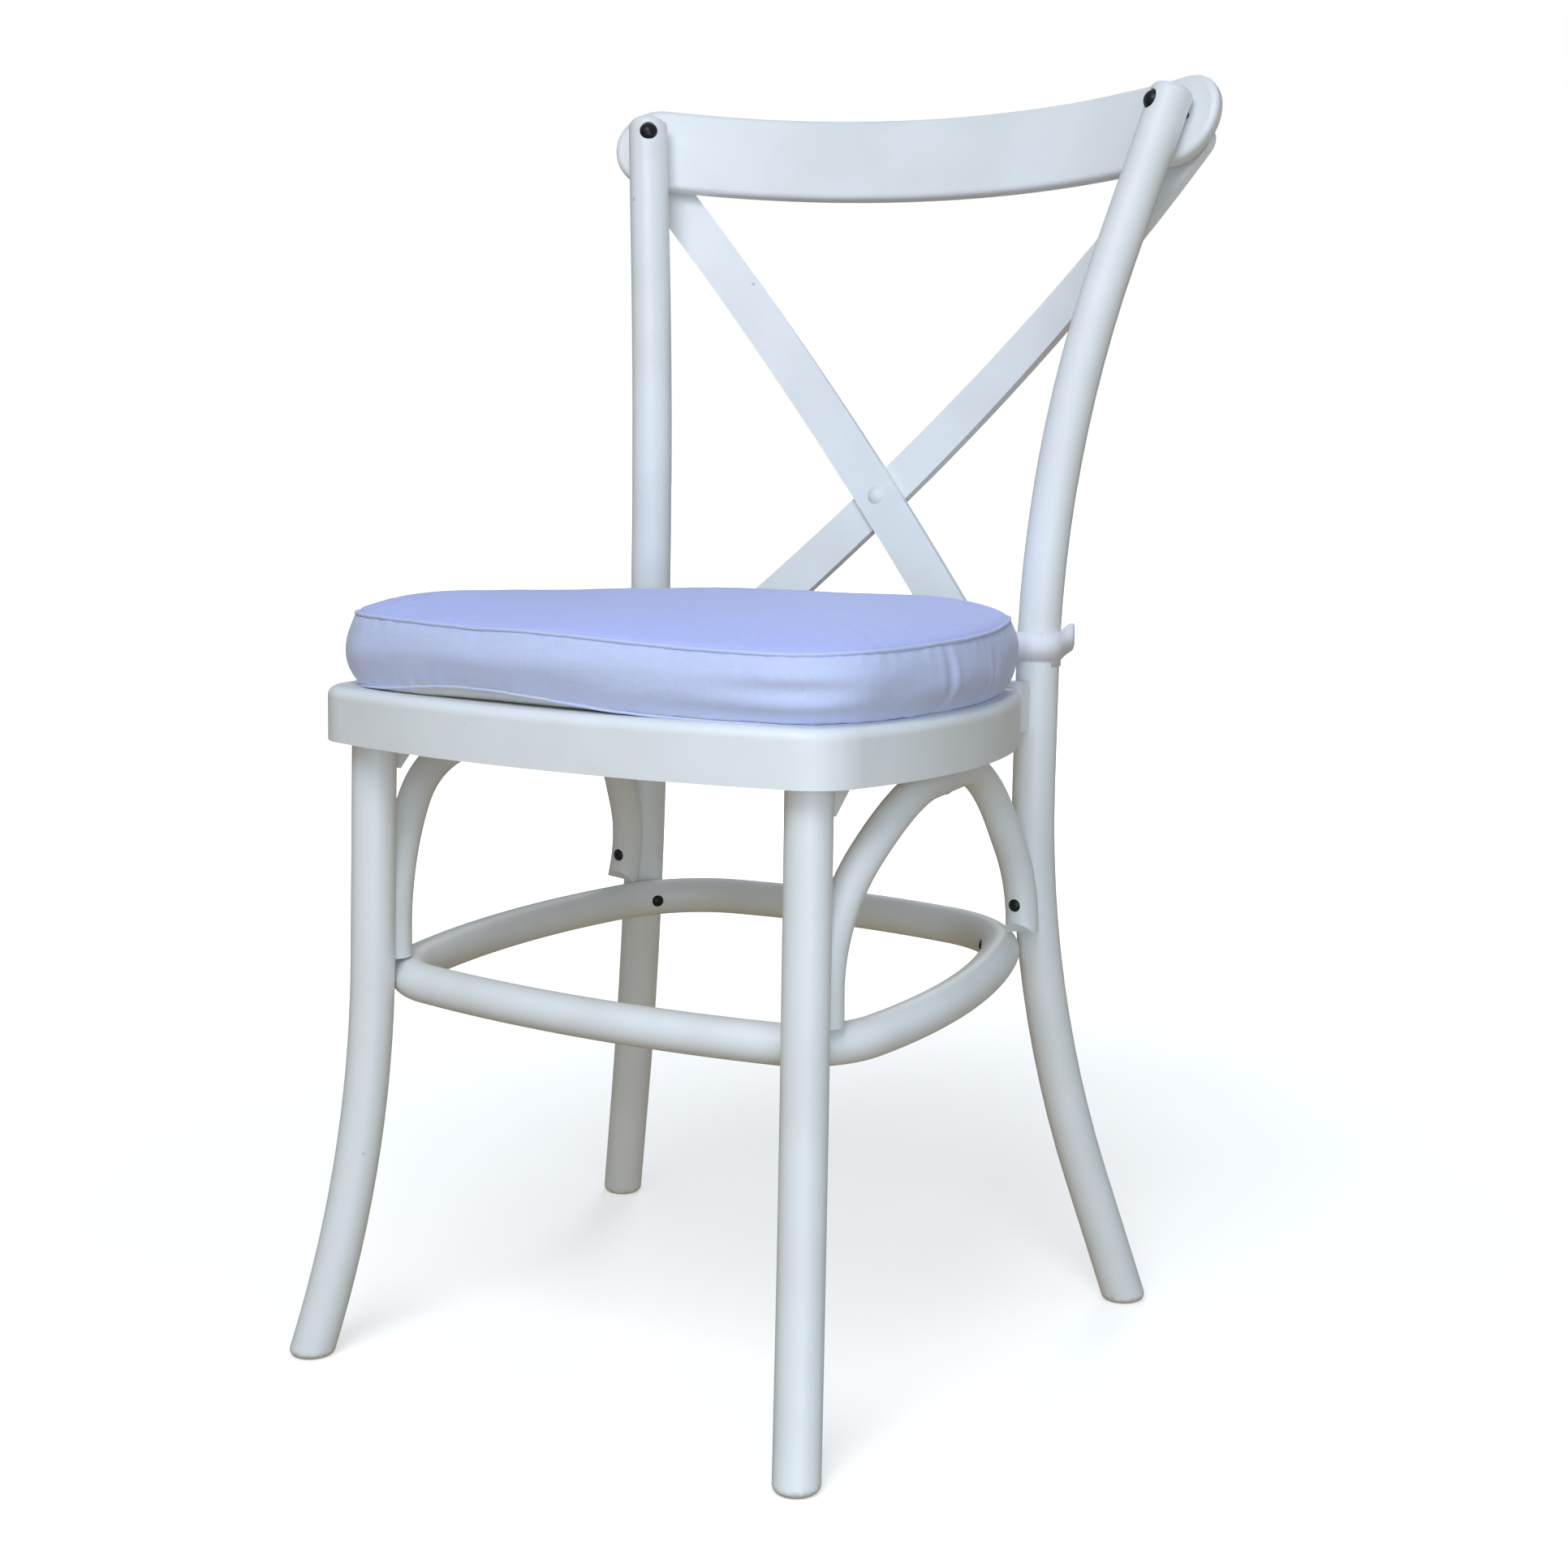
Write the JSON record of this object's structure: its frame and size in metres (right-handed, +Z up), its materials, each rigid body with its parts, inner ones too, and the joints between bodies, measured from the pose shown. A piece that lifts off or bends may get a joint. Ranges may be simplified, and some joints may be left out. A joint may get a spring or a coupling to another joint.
{
  "type": "cross back chair",
  "caption": "Dining chair of bent, white-painted wood with round legs, a stretcher hoop, side arches, a curved crest rail over crossed slats, and a strapped-on seat cushion.",
  "frame": {"origin": "on the floor, under the middle of the chair's bounding box", "axes": "+Z up, front towards -Y, +X to the right of a viewer who faces the front; symmetric about x = 0"},
  "size_m": [0.5192, 0.5349, 0.8838],
  "materials": {
    "painted_wood": "satin off-white paint",
    "plywood": "plain",
    "black_steel": "blackened, satin",
    "painted_steel": "painted with the frame",
    "cushion_cloth": "smooth woven cover",
    "strap_cloth": "hook-and-loop tape"
  },
  "bodies": {
    "root": {"front_leg_left": "painted_wood", "front_leg_right": "painted_wood", "back_post_left": "painted_wood", "back_post_right": "painted_wood", "seat_frame": "painted_wood", "rear_seat_rail": "painted_wood", "crest_rail": "painted_wood", "back_slat_front": "painted_wood", "back_slat_back": "painted_wood", "stretcher_hoop": "painted_wood", "side_arch_left": "painted_wood", "side_arch_right": "painted_wood", "corner_block_left": "painted_wood", "corner_block_right": "painted_wood", "seat_panel": "plywood", "crest_screws": "black_steel", "arch_screws": "black_steel", "arch_top_screws": "black_steel", "hoop_screws": "black_steel", "slat_end_screws": "black_steel", "slat_foot_screws": "black_steel", "rail_bolts": "black_steel", "slat_cross_bolt": "painted_steel", "slat_cross_nut": "painted_steel", "cushion": "cushion_cloth", "cushion_strap_left": "strap_cloth", "cushion_strap_right": "strap_cloth"}
  },
  "joints": []
}
